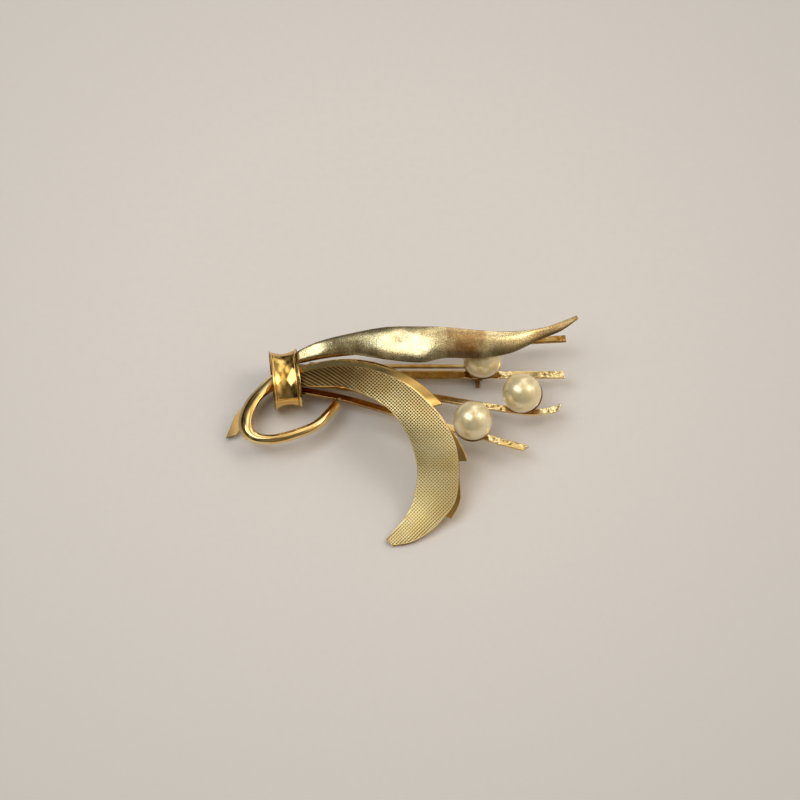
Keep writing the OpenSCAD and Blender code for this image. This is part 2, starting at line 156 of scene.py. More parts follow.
def curve(points, places):
    """Points on the smooth curve through points, at places counted in points."""
    p = np.asarray(points, float)
    u = np.asarray(places, float)
    last = len(p) - 1
    i = np.clip(np.floor(u).astype(int), 0, last - 1)
    f = (u - i)[:, None]
    a, b, c, d = p[np.maximum(i - 1, 0)], p[i], p[i + 1], p[np.minimum(i + 2, last)]
    return 0.5 * (2 * b + (c - a) * f + (2 * a - 5 * b + 4 * c - d) * f**2 + (3 * b - a - 3 * c + d) * f**3)


def even_places(points, spacing):
    """Places along the curve through points that lie spacing apart."""
    last = len(points) - 1 - TINY
    fine = np.linspace(0, last, 1200)
    steps = np.linalg.norm(np.diff(curve(points, fine), axis=0), axis=1)
    length = np.concatenate([[0], np.cumsum(steps)])
    count = max(2, int(length[-1] / spacing) + 1)
    return np.interp(np.linspace(0, length[-1], count), length, fine)


def heading(points, places):
    """Unit direction of the curve at each place."""
    return unit(curve(points, places + TINY / 2) - curve(points, places - TINY / 2))


def grid_normals(grid):
    """Unit normals of a grid of points."""
    return unit(np.cross(np.gradient(grid, axis=0), np.gradient(grid, axis=1)))


def leaf_face(back, front, places, across, crown, power=2):
    """Grid of a leaf's face: across runs from 0 at the front edge to 1 at the back one. A higher power
    makes its crown flatter in the middle and steeper at the edges."""
    a, b = curve(back, places), curve(front, places)
    along = curve(back, places + TINY) + curve(front, places + TINY) - a - b
    up = unit(np.cross(along, a - b))
    t = across[None, :, None]
    lift = crown * np.linalg.norm(a - b, axis=1)
    flat = b[:, None] * (1 - t) + a[:, None] * t
    return flat + (up * lift[:, None])[:, None] * (1 - np.abs(2 * t - 1)**power)


EDGE_TURNS = [15, 45, 75]        # degrees at which an edge's rounding has points, above and below
EDGE_COLUMNS = 2 * len(EDGE_TURNS)


def rounded_edge(edge, inward, normal, thickness, r):
    """Columns of points round a plate's edge, from its upper face to its lower one."""
    turns = np.radians(EDGE_TURNS)
    top = [edge + inward * r * (1 - math.sin(w)) - normal * r * (1 - math.cos(w)) for w in turns]
    base = [edge - normal * thickness + inward * r * (1 - math.sin(w)) + normal * r * (1 - math.cos(w))
        for w in turns[::-1]]
    return top + base


def plate_rings(upper, normal, lower, thickness, r):
    """Closed rings of a plate: its upper face, a rounded edge, its lower face and the other edge."""
    ahead = unit(upper[:, -2] - upper[:, -1])
    behind = unit(upper[:, 1] - upper[:, 0])
    far = rounded_edge(upper[:, -1], ahead, normal[:, -1], thickness, r)
    near = rounded_edge(upper[:, 0], behind, normal[:, 0], thickness, r)
    columns = [upper[:, j] for j in range(1, upper.shape[1] - 1)] + far
    columns += [lower[:, j] for j in range(lower.shape[1] - 2, 0, -1)] + near[::-1]
    return np.stack(columns, axis=1)


# ---- meshes ----


def add_mesh(name, points, faces, materials, indices=None, colours=None):
    """New smooth object from points in millimetres. colours are named numbers, one for each point."""
    mesh = bpy.data.meshes.new(name)
    mesh.from_pydata([tuple(p) for p in np.asarray(points) * MM], [], faces)
    if indices is not None:
        mesh.polygons.foreach_set("material_index", indices)
    for key, values in (colours or {}).items():
        layer = mesh.attributes.new(key, "FLOAT", "POINT")
        layer.data.foreach_set("value", np.asarray(values, np.float32).ravel())
    shape = bmesh.new()
    shape.from_mesh(mesh)
    bmesh.ops.recalc_face_normals(shape, faces=shape.faces)
    shape.to_mesh(mesh)
    shape.free()
    mesh.polygons.foreach_set("use_smooth", [True] * len(mesh.polygons))
    for material in materials:
        mesh.materials.append(material)
    piece = bpy.data.objects.new(name, mesh)
    bpy.context.scene.collection.objects.link(piece)
    return piece


def ring_faces(rows, cols, wrap=False):
    """Faces of a closed tube of rows rings with cols points each. Its ends are closed, or with wrap its last
    ring joins its first."""
    count = rows if wrap else rows - 1
    faces = []
    for i in range(count):
        k, m = i * cols, (i + 1) % rows * cols
        faces += [(k + j, k + (j + 1) % cols, m + (j + 1) % cols, m + j) for j in range(cols)]
    if not wrap:
        faces.append(tuple(range(cols - 1, -1, -1)))
        faces.append(tuple((rows - 1) * cols + j for j in range(cols)))
    return faces


def add_tube(name, rings, materials, column_material=None, colours=None):
    """Closed tube through rings of points. column_material gives each column's material."""
    rows, cols = rings.shape[:2]
    faces = ring_faces(rows, cols)
    indices = None
    if column_material is not None:
        indices = [column_material[j % cols] for j in range(len(faces) - 2)] + [len(materials) - 1] * 2
    return add_mesh(name, rings.reshape(-1, 3), faces, materials, indices, colours)


def turned(profile, around=96):
    """Points and faces of a lathe shape from (radius, height) pairs, closed by a point at each end."""
    angles = np.linspace(0, 2 * math.pi, around, endpoint=False)
    middle = [(r, z) for r, z in profile[1:-1]]
    points = [(0, 0, profile[0][1])]
    points += [(r * math.cos(w), r * math.sin(w), z) for r, z in middle for w in angles]
    points.append((0, 0, profile[-1][1]))
    faces = [(0, 1 + (j + 1) % around, 1 + j) for j in range(around)]
    for i in range(len(middle) - 1):
        k = 1 + i * around
        faces += [(k + j, k + (j + 1) % around, k + around + (j + 1) % around, k + around + j)
            for j in range(around)]
    k = 1 + (len(middle) - 1) * around
    faces += [(k + j, k + (j + 1) % around, len(points) - 1) for j in range(around)]
    return np.array(points, float), faces


def joined(shapes):
    """Several (points, faces) as one."""
    points, faces, start = [], [], 0
    for p, f in shapes:
        points.append(p)
        faces += [tuple(k + start for k in face) for face in f]
        start += len(p)
    return np.concatenate(points), faces


def spun(points, angle, axis):
    """Points turned about x (0), y (1) or z (2)."""
    i, j = [(1, 2), (2, 0), (0, 1)][axis]
    c, s = math.cos(angle), math.sin(angle)
    out = np.array(points, float)
    out[..., i] = c * points[..., i] - s * points[..., j]
    out[..., j] = s * points[..., i] + c * points[..., j]
    return out


SEED_STEP = 17.3                 # how far apart in the noise two seeds are


def noise_at(points, scale, seed):
    """Smooth noise from -1 to 1 at each point."""
    flat = np.asarray(points, float).reshape(-1, 3) * scale + seed * SEED_STEP
    values = [noise.noise(Vector(p)) for p in flat]
    return np.array(values).reshape(np.asarray(points).shape[:-1])


DENT_SPREAD = 1.6                # brings the distance between two hammer marks to about 1


def dents_at(points, scale, seed):
    """Hammer marks: 0 at the middle of each mark, rising to about 1 between them."""
    flat = np.asarray(points, float).reshape(-1, 3) * scale + seed * SEED_STEP
    values = [min(1.0, noise.voronoi(Vector(p))[0][0] * DENT_SPREAD) ** 2 for p in flat]
    return np.array(values).reshape(np.asarray(points).shape[:-1])


# ---- materials ----


class Nodes:
    """Short way to build a tree of shader nodes, whose place is the named texture coordinate."""

    def __init__(self, tree, coordinate):
        tree.nodes.clear()
        self.tree = tree
        self.place = self.add("ShaderNodeTexCoord").outputs[coordinate]

    def add(self, kind):
        return self.tree.nodes.new(kind)

    def link(self, a, b):
        self.tree.links.new(a, b)

    def fill(self, socket, value):
        """Links value if it is another node's output, or sets it."""
        if isinstance(value, bpy.types.NodeSocket):
            self.link(value, socket)
        else:
            socket.default_value = value

    def stretched(self, x, y, z):
        """The place with its axes scaled."""
        node = self.add("ShaderNodeMapping")
        node.inputs["Scale"].default_value = (x, y, z)
        self.link(self.place, node.inputs["Vector"])
        return node.outputs[0]

    def noise(self, scale, detail, place=None, distortion=0.0):
        node = self.add("ShaderNodeTexNoise")
        node.inputs["Scale"].default_value = scale
        node.inputs["Detail"].default_value = detail
        node.inputs["Distortion"].default_value = distortion
        self.link(place or self.place, node.inputs["Vector"])
        return node.outputs["Fac"]

    def attribute(self, name):
        node = self.add("ShaderNodeAttribute")
        node.attribute_name = name
        return node.outputs["Fac"]

    def ramp(self, value, low, high, to_low=0.0, to_high=1.0, smooth=False):
        """value from low..high to to_low..to_high, clamped. smooth eases both ends."""
        node = self.add("ShaderNodeMapRange")
        if smooth:
            node.interpolation_type = "SMOOTHSTEP"
        self.link(value, node.inputs["Value"])
        limits = {"From Min": low, "From Max": high, "To Min": to_low, "To Max": to_high}
        for key, number in limits.items():
            node.inputs[key].default_value = number
        return node.outputs[0]

    def maths(self, operation, a, b):
        node = self.add("ShaderNodeMath")
        node.operation = operation
        self.link(a, node.inputs[0])
        self.link(b, node.inputs[1])
        return node.outputs[0]

    def against(self, operation, vector):
        """One number from the place and a fixed vector, such as their distance."""
        node = self.add("ShaderNodeVectorMath")
        node.operation = operation
        self.link(self.place, node.inputs[0])
        node.inputs[1].default_value = vector
        return node.outputs["Value"]

    def mix(self, factor, a, b):
        """Colour between a and b."""
        node = self.add("ShaderNodeMix")
        node.data_type = "RGBA"
        self.link(factor, node.inputs["Factor"])
        for key, value in (("A", a), ("B", b)):
            socket = next(s for s in node.inputs if s.name == key and s.type == "RGBA")
            self.fill(socket, value)
        return next(s for s in node.outputs if s.type == "RGBA")


class Finish(Nodes):
    """Nodes of a material and its shader."""

    def __init__(self, name):
        self.material = bpy.data.materials.new(name)
        self.material.use_nodes = True
        super().__init__(self.material.node_tree, "Object")
        self.shader = self.add("ShaderNodeBsdfPrincipled")
        output = self.add("ShaderNodeOutputMaterial")
        self.link(self.shader.outputs[0], output.inputs[0])

    def drive(self, socket, value):
        """Links value to one of the shader's sockets."""
        self.link(value, self.shader.inputs[socket])

    def put(self, socket, number):
        """Gives one of the shader's sockets the same number all over."""
        self.shader.inputs[socket].default_value = number

    def relief(self, height, distance):
        """Adds a bump of that depth in millimetres under the ones already there."""
        node = self.add("ShaderNodeBump")
        node.inputs["Distance"].default_value = distance * MM
        node.inputs["Strength"].default_value = 1.0
        self.link(height, node.inputs["Height"])
        normal = self.shader.inputs["Normal"]
        if normal.links:
            self.link(normal.links[0].from_socket, node.inputs["Normal"])
        self.link(node.outputs[0], normal)


PALE_GOLD = (0.88, 0.76, 0.45, 1)
WARM_GOLD = (0.86, 0.60, 0.23, 1)
BUFFED_GOLD = (0.88, 0.69, 0.33, 1)
OLIVE_GOLD = (0.74, 0.60, 0.30, 1)
RED_GOLD = (0.95, 0.58, 0.15, 1)
ROLLED_GOLD = (0.93, 0.77, 0.43, 1)
CREST_PALE = (1.0, 0.86, 0.48, 1)
CREST_WARM = (0.96, 0.76, 0.34, 1)
TARNISH_AND_SHADE = (0.13, 0.075, 0.022, 1)
RUST = (0.36, 0.17, 0.055, 1)
# Brown painted on the stems for the shade under the leaves
STEM_SHADE_BROWN = (0.50, 0.25, 0.05, 1)
CREST_BROWN = (0.50, 0.30, 0.10, 1)
PIT_DARK = (0.10, 0.055, 0.014, 1)
DULL_BRASS = (0.42, 0.24, 0.08, 1)
DULL_BROWN = (0.24, 0.13, 0.045, 1)
SOLDER_PALE = (0.60, 0.42, 0.18, 1)
SOLDER_DEEP = (0.40, 0.25, 0.10, 1)
LACQUER_PALE = (0.97, 0.84, 0.50, 1)
LACQUER_DEEP = (0.92, 0.76, 0.39, 1)
SPECKLE_SCALE = 5200
EVEN = (1, 1, 1)


def metal(name, pale, deep, rough, tone_scale, grain, speckle, stain_and_shade=None):
    """Plated metal. Its tone drifts between two golds, its gloss with fine wear, and its rims are tarnished.
    rough is the least and the most roughness, grain is (depth, scale, stretch) of its finest relief,
    speckle is how strong its dark flecks are, and the stain colour is what the mesh's own stain marks
    lead to. On some pieces the rim and stain marks also carry painted shade, where they lie in shade or show
    dark reflections."""
    n = Finish(name)
    colour = n.mix(n.ramp(n.noise(tone_scale, 4, distortion=0.6), 0.35, 0.65), pale, deep)
    if stain_and_shade:
        cloud = n.ramp(n.noise(700, 4), 0.3, 0.6, 0.4, 1.0)
        colour = n.mix(n.maths("MULTIPLY", n.attribute("stain_and_shade"), cloud), colour, stain_and_shade)
    if speckle:
        fleck = n.ramp(n.noise(SPECKLE_SCALE, 2), 0.42, 0.62, 0.0, speckle)
        colour = n.mix(fleck, colour, TARNISH_AND_SHADE)
    # The rim mark darkens towards tarnish at the rims, and on some pieces it is painted shade.
    colour = n.mix(n.ramp(n.attribute("rim"), 0.1, 0.9, 0.0, 0.8), colour, TARNISH_AND_SHADE)
    n.drive("Base Color", colour)
    n.put("Metallic", 1.0)
    n.drive("Roughness", n.ramp(n.noise(tone_scale * 3.1, 5), 0.3, 0.7, *rough))
    depth, scale, stretch = grain
    n.relief(n.noise(scale, 2, n.stretched(*stretch)), depth)
    return n


def satin_gold():
    """Stippled satin of the large leaf: fine pits over a softer brushing across it."""
    n = metal("satin_gold", PALE_GOLD, OLIVE_GOLD, rough=(0.22, 0.31), tone_scale=300,
        grain=(0.014, 6200, (1, 0.7, 0.7)), speckle=0.5, stain_and_shade=RUST)
    n.relief(n.noise(1500, 3, n.stretched(1, 0.5, 0.5)), 0.008)
    return n.material


def polished_gold():
    """Bright plate of the collar, the ribbon, the tail and the sickle leaf's margin."""
    return metal("polished_gold", WARM_GOLD, BUFFED_GOLD, rough=(0.09, 0.16), tone_scale=220,
        grain=(0.004, 900, EVEN), speckle=0.0, stain_and_shade=RED_GOLD).material


def stem_gold():
    """Rolled strip, with faint lines along its length."""
    return metal("stem_gold", ROLLED_GOLD, WARM_GOLD, rough=(0.12, 0.24), tone_scale=200,
        grain=(0.008, 7000, (0.06, 1, 1)), speckle=0.2, stain_and_shade=STEM_SHADE_BROWN).material


def hatched_gold():
    """Crossed cut lines: bright on their crests, dark where the pits hold old polish."""
    n = Finish("hatched_gold")
    gold = n.mix(n.ramp(n.noise(200, 4, distortion=0.6), 0.35, 0.65), CREST_PALE, CREST_WARM)
    cloud = n.ramp(n.noise(500, 4), 0.3, 0.6, 0.6, 1.0)
    gold = n.mix(n.maths("MULTIPLY", n.attribute("stain_and_shade"), cloud), gold, CREST_BROWN)
    pit = n.ramp(n.attribute("pit"), 0.06, 0.5, 0.0, 0.95)
    n.drive("Base Color", n.mix(pit, gold, PIT_DARK))
    n.put("Metallic", 1.0)
    n.drive("Roughness", n.ramp(n.noise(900, 3), 0.3, 0.7, 0.42, 0.54))
    n.relief(n.noise(9000, 2), 0.004)
    return n.material


def findings_gold():
    """Catch, hinge and cups, dull and brown where no polish reached."""
    return metal("findings_gold", DULL_BRASS, DULL_BROWN, rough=(0.22, 0.38), tone_scale=700,
        grain=(0.006, 4000, EVEN), speckle=0.4).material


def solder():
    """Rough solder under the plating."""
    return metal("solder", SOLDER_PALE, SOLDER_DEEP, rough=(0.22, 0.42), tone_scale=900,
        grain=(0.02, 2500, EVEN), speckle=0.3).material


def nacre():
    """Imitation pearl: cream lacquer with a faint drift of tone under a clear coat."""
    n = Finish("nacre")
    drift = n.ramp(n.noise(180, 3, distortion=1.5), 0.35, 0.65)
    n.drive("Base Color", n.mix(drift, LACQUER_PALE, LACQUER_DEEP))
    n.put("Metallic", 0.4)
    n.drive("Roughness", n.ramp(n.noise(600, 3), 0.3, 0.7, 0.27, 0.35))
    n.put("Coat Weight", 1.0)
    n.put("Coat Roughness", 0.17)
    n.put("Coat IOR", 1.9)
    n.relief(n.noise(2500, 2), 0.001)
    return n.material


SATIN = satin_gold()
POLISHED = polished_gold()
STEM = stem_gold()
HATCHED = hatched_gold()
FINDINGS = findings_gold()
SOLDER = solder()
NACRE = nacre()


def settle(piece, slot, *nodes, body="brooch"):
    """The piece rides on its body and stands for its CAD nodes, which are hidden. slot is not used."""
    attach(piece, body)
    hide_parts(*nodes)


# ---- leaves ----


SATIN_POWER = 3.2                # makes the crown flatter in its middle than the CAD's
SATIN_SINK = 0.06                # keeps its shoulders inside the CAD's box
SATIN_EDGE = 0.12                # radius of its rounded edge
SATIN_FADE = 0.12                # share of its width over which the dents fade out at each edge
# Hollows and swellings of the satin leaf: middle (x, share across), half sizes, height
LEAF_RELIEF = [((-0.3, 0.7), (2.0, 0.30), -0.16), ((-13.5, 0.5), (3.0, 0.6), -0.05),
    ((9.2, 0.55), (2.4, 0.45), 0.05), ((15.5, 0.6), (4.5, 0.5), 0.15), ((-6.5, 0.4), (3.2, 0.5), 0.04)]


def satin_leaf():
    """The large leaf: a crowned strip with soft dents along it. Painted shade darkens a band across it, where
    it reflects the dark gap between the window and the lamp, its front margin towards the tip, and the middle
    of the hollow in its widest part. Rust marks a patch low in that band and the part towards its tip."""
    places = even_places(POLISHED_BACK, 0.14)
    across = np.linspace(0, 1, 48)
    crown = POLISHED_CROWN / POLISHED_WIDEST
    face = leaf_face(POLISHED_BACK, POLISHED_FRONT, places, across, crown, SATIN_POWER)
    normal = grid_normals(face)
    x = face[:, :, 0]
    height = 0.02 * noise_at(face, 0.45, seed=2)
    for (mid, share), (half, part), lift in LEAF_RELIEF:
        height = height + lift * bump(x, mid, half) * bump(across[None, :], share, part)
    fade = np.minimum(rise(across / SATIN_FADE), rise((1 - across) / SATIN_FADE))[None, :]
    face = face + normal * (height * fade - SATIN_SINK)[..., None]
    lower = face - normal * POLISHED_T
    rings = plate_rings(face, normal, lower, POLISHED_T, SATIN_EDGE)
    rim = np.zeros(rings.shape[:2])
    first = len(across) - 2
    rim[:, first:first + EDGE_COLUMNS] = 1
    rim[:, -EDGE_COLUMNS:] = 1
    along = rings[..., 0] + 0.6 * noise_at(rings, 0.8, seed=4)
    share = rings[..., 1] - rings[..., 1].min(axis=1, keepdims=True)
    share = share / share.max(axis=1, keepdims=True)
    # Painted shade: the front margin is darkened towards the tip, where it turns away from the lights.
    rim = np.maximum(rim, 0.75 * rise((0.5 - share) / 0.4) * rise((along - 12) / 3))
    # Painted shade: a band across where the leaf reflects the dark gap between the two lights, and the middle
    # of the hollow in its widest part. The blot and the part towards the tip are rust.
    shade_band = rise((along - 6.2) / 0.9) * rise((12.8 - along) / 0.9)
    blot = bump(along, 10.4, 2.8) * bump(rings[..., 1], 10.6, 2.0)
    spoon_shade = bump(along, -0.3, 2.2) * bump(rings[..., 1], 12.6, 1.7)
    stain_and_shade = 0.66 * shade_band + 0.5 * blot + 0.55 * rise((along - 18) / 5) + 0.6 * spoon_shade
    piece = add_tube("satin_leaf", rings, [SATIN], colours={"rim": rim, "stain_and_shade": stain_and_shade})
    settle(piece, "satin_gold", "polished_leaf")


def margin_width(u):
    """Width of the hatched leaf's smooth margin at place u, widening to each cut tooth."""
    for start, end, w0, w1, w2 in LOBES:
        if start <= u <= end:
            t = (u - start) / (end - start)
            return w0 + (w1 - w0) * rise(2 * t) if t < 0.5 else w1 + (w2 - w1) * (2 * t - 1)
    return RIM_W


HATCH_PITCH = 0.37
HATCH_START = -13.0              # x where the lines along the leaf are flattest
HATCH_SLOPE = 0.55               # their slope there
HATCH_BEND = 0.0173              # brings their slope to 1 where x is 0
HATCH_SHIFT = 2.93               # lets them run on unbroken from there
HATCH_SHARP = 2.6                # how narrow the crests are
HATCH_DEPTH = 0.04
HATCHED_EDGE = 0.1
MARGIN_COLUMNS = 8


def hatch_lines(points):
    """Heights of the crossed ridges, from 0 in a pit to 1 on a crest. The lines are straight
    as seen square to the leaf's tilted face, and the ones along the leaf fan out from the collar."""
    x = points[..., 0]
    y = points[..., 1] * math.sin(VIEW_ELEVATION) + points[..., 2] * math.cos(VIEW_ELEVATION)
    pitch = HATCH_PITCH * math.sqrt(2)
    rising = (x - y) / pitch
    start = x - HATCH_START
    bend = np.where(start < -HATCH_START, HATCH_SLOPE * start + HATCH_BEND * start**2, start - HATCH_SHIFT)
    falling = (bend + y) / pitch
    crests = [(0.5 + 0.5 * np.cos(2 * math.pi * line)) ** HATCH_SHARP for line in (rising, falling)]
    # The lines across begin beyond the collar, and the ones along get shallower towards the tip
    crests[0] = crests[0] * rise((start + 2) / 9)
    crests[1] = crests[1] * (0.45 + 0.55 * rise((points[..., 1] + 17) / 8))
    return 1 - (1 - crests[0]) * (1 - crests[1])


def hatched_leaf():
    """The sickle leaf: cut lines crossed over its crowned face, and a smooth margin turned down."""
    places = even_places(HATCHED_RIDGE, 0.05)
    teeth = [edge + side for lobe in LOBES for edge in lobe[:2] for side in (-TINY, TINY) if edge > 0]
    places = np.unique(np.concatenate([places, teeth]))
    across = np.linspace(0, 1, 110)
    face = leaf_face(HATCHED_RIDGE, HATCHED_INNER, places, across, HATCHED_CROWN / HATCHED_WIDEST)
    normal = grid_normals(face)
    crest = hatch_lines(face)
    edge_fade = np.minimum(rise(across / 0.05), rise((1 - across) / 0.04))[None, :]
    cut = (1 - crest) * edge_fade
    ridge, inner = face[:, -1], face[:, 0]
    out = unit(ridge - inner)
    up = unit(np.cross(heading(HATCHED_RIDGE, places), ridge - inner))
    width = np.array([margin_width(u) for u in places])[:, None]
    fall = out * math.cos(MARGIN_SLOPE) - up * math.sin(MARGIN_SLOPE)
    steps = np.linspace(0, 1, MARGIN_COLUMNS + 1)[1:]
    margin = np.stack([ridge + width * fall * step for step in steps], axis=1)
    upper = np.concatenate([face - normal * (cut * HATCH_DEPTH)[..., None], margin], axis=1)
    smooth = np.concatenate([face, margin], axis=1)
    normal = grid_normals(smooth)
    lower = smooth - normal * HATCHED_T
    rings = plate_rings(upper, normal, lower, HATCHED_T, HATCHED_EDGE)
    pit = np.zeros(rings.shape[:2])
    pit[:, :len(across) - 1] = cut[:, 1:]
    # The pits hold less old polish in the leaf's lower part, and its crests are browned towards the collar
    pit *= 1 - 0.62 * rise((3 - rings[..., 1]) / 8)
    stain_and_shade = rise((1.5 - rings[..., 0]) / 11) * rise((rings[..., 1] - 1) / 4)
    # The margin and most of its rounded edge turn deep gold along the first lobe, which is tarnished too
    edge = slice(len(across) - 1, len(across) + MARGIN_COLUMNS + 2)
    stain_and_shade[:, edge] = 0.95 * rise((rings[:, edge, 0] + 4) / 5)
    rim = np.zeros(rings.shape[:2])
    rim[:, edge] = 0.85 * rise((rings[:, edge, 1] - 1) / 2) * stain_and_shade[:, edge]
    kinds = [0 if j < len(across) - 2 else 1 for j in range(rings.shape[1])]
    marks = {"pit": pit, "stain_and_shade": stain_and_shade, "rim": rim}
    piece = add_tube("sickle_leaf", rings, [HATCHED, POLISHED], kinds, marks)
    settle(piece, "hatched_gold", "hatched_leaf")


# ---- collar, ribbon and tail ----


def collar_frame(points):
    """Points of the collar's own frame, put in place."""
    return spun(spun(points, COLLAR_LEAN, 0), COLLAR_TURN, 2) + np.array(COLLAR_AT)


def collar():
    """Band with a channel, rounder than the CAD's, flared rims and a fine groove beside each of them."""
    t = np.linspace(-1, 1, 121)
    w = np.linspace(0, 2 * math.pi, 160, endpoint=False)
    groove = COLLAR_GROOVE * (1 - t**2)
    x = t * COLLAR_LEN / 2

    def ring(depth):
        return np.stack([np.broadcast_to(x[:, None], (len(t), len(w))),
            (COLLAR_A - depth)[:, None] * np.cos(w), (COLLAR_B - depth)[:, None] * np.sin(w)], axis=-1)

    soft = 0.06 * (np.abs(t) ** 30)
    line = 0.09 * bump(t, 0.74, 0.07) + 0.05 * bump(t, -0.84, 0.06)
    outside = ring(groove + soft + line)
    inside = ring(groove + COLLAR_WALL - soft)[::-1]
    rings = collar_frame(np.concatenate([outside, inside]))
    rows, cols = rings.shape[:2]
    deep = 0.9 * (1 - np.abs(t) ** 8)
    edge = np.maximum(rise((np.abs(t) - 0.92) / 0.05), bump(t, 0.74, 0.08))
    edge = np.maximum(edge, 0.35 * deep)
    rim = np.repeat(np.concatenate([edge, edge[::-1]]), cols)
    stain_and_shade = np.repeat(np.concatenate([deep, deep[::-1]]), cols)
    piece = add_mesh("collar_band", rings.reshape(-1, 3), ring_faces(rows, cols, wrap=True), [POLISHED],
        colours={"rim": rim, "stain_and_shade": stain_and_shade})
    settle(piece, "polished_gold", "collar")


def ribbon_frames(places):
    """Cross and up directions of the ribbon: level in the collar, then leaning outwards, most round the left
    bend."""
    flat = unit(heading(LOOP_PATH, places)[:, :2])
    side = np.stack([-flat[:, 1], flat[:, 0], np.zeros(len(flat))], axis=1)
    lean = RIBBON_LEAN_LEFT * rise(places / 2) + (RIBBON_LEAN - RIBBON_LEAN_LEFT) * rise((places - 4.5) / 3)
    lean = lean[:, None]
    z = np.array([0, 0, 1.0])
    return np.cos(lean) * side + np.sin(lean) * z, -np.sin(lean) * side + np.cos(lean) * z


def ribbon_outline():
    """Section of the ribbon, over its crest from the left and back along its base: share across, depth."""
    domed = [(x, RIBBON_CROWN * (x / 0.98) ** 2) for x in np.linspace(-0.94, 0.94, 25)]
    brow = [(0.985, RIBBON_CROWN + 0.04), (1.0, RIBBON_CROWN + 0.1)]
    right = brow + [(1.0, RIBBON_T - 0.12), (0.95, RIBBON_T)]
    base = [(x, RIBBON_T) for x in (0.5, 0.0, -0.5)]
    left = [(-x, depth) for x, depth in right[::-1]]
    return np.array(domed + right + base + left)


def ribbon():
    """The loop of half-round ribbon, from inside the collar round to the front stem."""
    places = even_places(LOOP_PATH, 0.12)
    wide, up = ribbon_frames(places)
    first, last = LOOP_NARROW
    width = RIBBON_W + (RIBBON_END_W - RIBBON_W) * rise((places - first) / (last - first))
    outline = ribbon_outline()
    across = width[:, None, None] / 2 * outline[None, :, 0, None]
    crest = curve(LOOP_PATH, places)[:, None]
    rings = crest + wide[:, None] * across - up[:, None] * outline[None, :, 1, None]
    # Painted shade: the ribbon's inner side turns deeper red gold, and the outer half round its left bend
    # darker, as in shade and dark reflection.
    inner = np.broadcast_to(rise((outline[:, 0] - 0.55) / 0.4), rings.shape[:2])
    bend = rise(places - 0.8) * rise((6 - places) / 1.5)
    outer = 0.7 * bend[:, None] * rise((0.5 - outline[:, 0]) / 0.5)
    piece = add_tube("ribbon", rings, [POLISHED], colours={"stain_and_shade": inner, "rim": outer})
    settle(piece, "polished_gold", "ribbon_loop")


def tail():
    """Strip that runs down from the collar and under the loop's left bend, to its pointed end."""
    outline = np.array(TAIL_OUTLINE)
    middle = outline.mean(axis=0)
    inset = outline + TAIL_EDGE * unit(middle - outline)
    levels = [(inset, 0), (outline, TAIL_EDGE), (outline, TAIL_T - TAIL_EDGE), (inset, TAIL_T)]
    flat = np.stack([np.concatenate([ring, np.full((len(ring), 1), z)], axis=1) for ring, z in levels])
    axis = Vector(TAIL_AXIS).normalized()
    turn = Matrix.Rotation(TAIL_DROP, 3, axis)
    rings = flat @ np.array(turn).T + np.array(TAIL_AT)
    # Painted shade: the whole strip is darkened, its pointed end most, for the darker reflection it shows.
    tail_shade = 0.6 + 0.4 * rise((-25.4 - rings[..., 0]) / 1.1)
    piece = add_tube("tail", rings, [POLISHED], colours={"rim": tail_shade})
    piece.data.polygons.foreach_set("use_smooth", [False] * len(piece.data.polygons))
    settle(piece, "polished_gold", "tail_strip")


# ---- stems ----


BAR_EDGE = 0.07
BAR_TOP_POINTS = 10
BAR_BASE_POINTS = 4
BAR_CORNER_STEPS = 3
SLANT_LEN = 1.6                  # how far from a stem's end its slant reaches


def section(width, thickness, r):
    """Closed outline of a bar with rounded edges, as (across, up) from its middle, from the top left on."""
    corners = [(1, 1, 90), (1, -1, 0), (-1, -1, -90), (-1, 1, 180)]
    flat = width / 2 - r
    outline = [(x, thickness / 2) for x in np.linspace(-flat, flat, BAR_TOP_POINTS)[1:-1]]
    for sx, sy, start in corners:
        cx, cy = sx * flat, sy * (thickness / 2 - r)
        outline += [(cx + r * math.cos(math.radians(w)), cy + r * math.sin(math.radians(w)))
            for w in np.linspace(start, start - 90, BAR_CORNER_STEPS + 1)]
        if (sx, sy) == (1, -1):
            outline += [(x, -thickness / 2) for x in np.linspace(flat, -flat, BAR_BASE_POINTS)[1:-1]]
    return np.array(outline)


def bar_rings(line, z, width, spacing, slant=0.0):
    """Rings of a flat bar along a line in plan, its end cut at a slant."""
    places = even_places(line, spacing)
    middle = curve(line, places)
    ahead = heading(line, places)
    side = np.stack([-ahead[:, 1], ahead[:, 0]], axis=1)
    outline = section(width, STEM_T, BAR_EDGE)
    s, h = outline[:, 0], outline[:, 1]
    left = np.linalg.norm(middle - middle[-1], axis=1)
    lean = slant * rise(1 - left / SLANT_LEN)
    plan = middle[:, None] - side[:, None] * s[None, :, None]
    plan = plan - ahead[:, None] * (lean[:, None] * s[None] * 2 / width)[..., None]
    height = np.broadcast_to(z + STEM_T / 2 + h, plan.shape[:2])
    return np.concatenate([plan, height[..., None]], axis=2)


def top_share(rings, z_top):
    """1 for a bar's points on its top face at z_top, and 0 below it."""
    return rise((rings[..., 2] - (z_top - 0.1)) / 0.08)


HAMMER_DEPTH = 0.13
HAMMER_SCALE = 1.3               # hammer marks in a millimetre, about
HAMMER_FADE = 0.8                # length over which the marks begin and end
STEM_WAVE = 0.03                 # how far a stem's top wanders up and down
STEM_LEAN = 0.17                 # how much lower its front edge is where it leans


def hammer(rings, z_top, where, seed):
    """Sinks marks in a bar's top face, by where, a share from 0 to 1 for each ring."""
    marks = dents_at(rings * (1, 1, 0), HAMMER_SCALE, seed)
    rings[..., 2] -= HAMMER_DEPTH * (1 - marks) * top_share(rings, z_top) * where[:, None]


